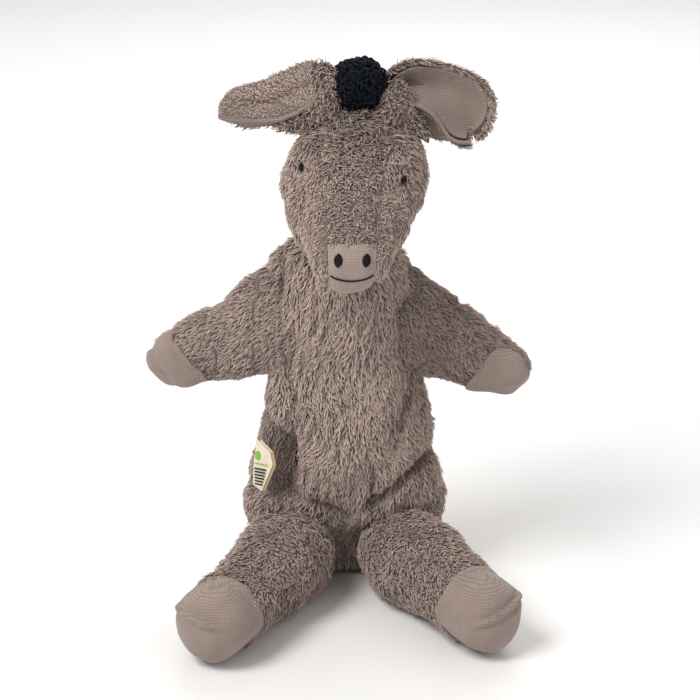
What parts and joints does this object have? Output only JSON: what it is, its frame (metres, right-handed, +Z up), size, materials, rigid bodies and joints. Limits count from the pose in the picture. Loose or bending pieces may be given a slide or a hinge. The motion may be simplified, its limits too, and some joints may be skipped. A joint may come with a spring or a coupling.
{
  "type": "plush donkey glove puppet",
  "caption": "Plush donkey glove puppet in grey pile cloth that sits with its legs out, with smooth knit nose, paws and hooves, floppy ears and a dark curly forelock.",
  "frame": {"origin": "on the floor under the middle of the seated puppet's bounding box", "axes": "+Z up, the puppet faces -Y, +X towards the viewer's right, which is the puppet's left hand"},
  "size_m": [0.1985, 0.1551, 0.2773],
  "materials": {
    "plush": "long curly pile",
    "knit": "short velour knit",
    "thread": "embroidery thread",
    "mane_wool": "curly bouclé",
    "filling": "loose fibre",
    "lining_cloth": "plain cotton",
    "binding": "woven tape",
    "label": "woven ribbon"
  },
  "bodies": {
    "torso": {"body_front": "plush", "body_back": "plush", "hem_binding": "binding", "side_label": "label"},
    "neck": {"neck_sleeve": "plush"},
    "head": {"head_side_left": "plush", "head_side_right": "plush", "forehead_gusset": "plush", "chin_gusset": "plush", "head_filling": "filling", "finger_tube": "lining_cloth", "nose_patch": "knit", "nostril_left": "thread", "nostril_right": "thread", "mouth_stitch": "thread", "eye_left": "thread", "eye_right": "thread", "mane": "mane_wool"},
    "ear_left": {"ear_left_back": "plush", "ear_left_lining": "knit"},
    "arm_left": {"sleeve_left_front": "plush", "sleeve_left_back": "plush", "paw_left_palm": "knit"},
    "leg_left": {"hoof_left_sole": "knit", "hoof_left_upper": "knit", "leg_left_filling": "filling", "leg_left_under": "plush", "leg_left_upper": "plush"},
    "ear_right": {"ear_right_back": "plush", "ear_right_lining": "knit"},
    "arm_right": {"sleeve_right_front": "plush", "sleeve_right_back": "plush", "paw_right_palm": "knit"},
    "leg_right": {"hoof_right_sole": "knit", "hoof_right_upper": "knit", "leg_right_filling": "filling", "leg_right_under": "plush", "leg_right_upper": "plush"}
  },
  "joints": [
    {"name": "neck_turn", "type": "hinge", "parent": "torso", "child": "neck", "pos_m": [0.00546, 0.04445, 0.184], "axis": [0, 0, 1], "range_deg": [-35, 35]},
    {"name": "head_nod", "type": "hinge", "parent": "neck", "child": "head", "pos_m": [0.00546, 0.04445, 0.184], "axis": [1, 0, 0], "range_deg": [-20, 25]},
    {"name": "shoulder_lift_left", "type": "hinge", "parent": "torso", "child": "arm_left", "pos_m": [-0.03254, 0.04445, 0.139], "axis": [0, 1, 0], "range_deg": [-5, 65]},
    {"name": "hip_swing_left", "type": "hinge", "parent": "torso", "child": "leg_left", "pos_m": [-0.02604, 0.01445, 0.023], "axis": [-1, 0, 0], "range_deg": [-80, 20]},
    {"name": "ear_flop_left", "type": "hinge", "parent": "head", "child": "ear_left", "pos_m": [-0.01154, 0.04745, 0.252], "axis": [0, -1, 0], "range_deg": [-15, 20]},
    {"name": "shoulder_lift_right", "type": "hinge", "parent": "torso", "child": "arm_right", "pos_m": [0.03746, 0.04445, 0.139], "axis": [-0.3907, -0.9205, 0], "range_deg": [-5, 65]},
    {"name": "hip_swing_right", "type": "hinge", "parent": "torso", "child": "leg_right", "pos_m": [0.03296, 0.01445, 0.023], "axis": [-1, 0, 0], "range_deg": [-80, 20]},
    {"name": "ear_flop_right", "type": "hinge", "parent": "head", "child": "ear_right", "pos_m": [0.02846, 0.04745, 0.252], "axis": [0, 1, 0], "range_deg": [-15, 20]}
  ]
}
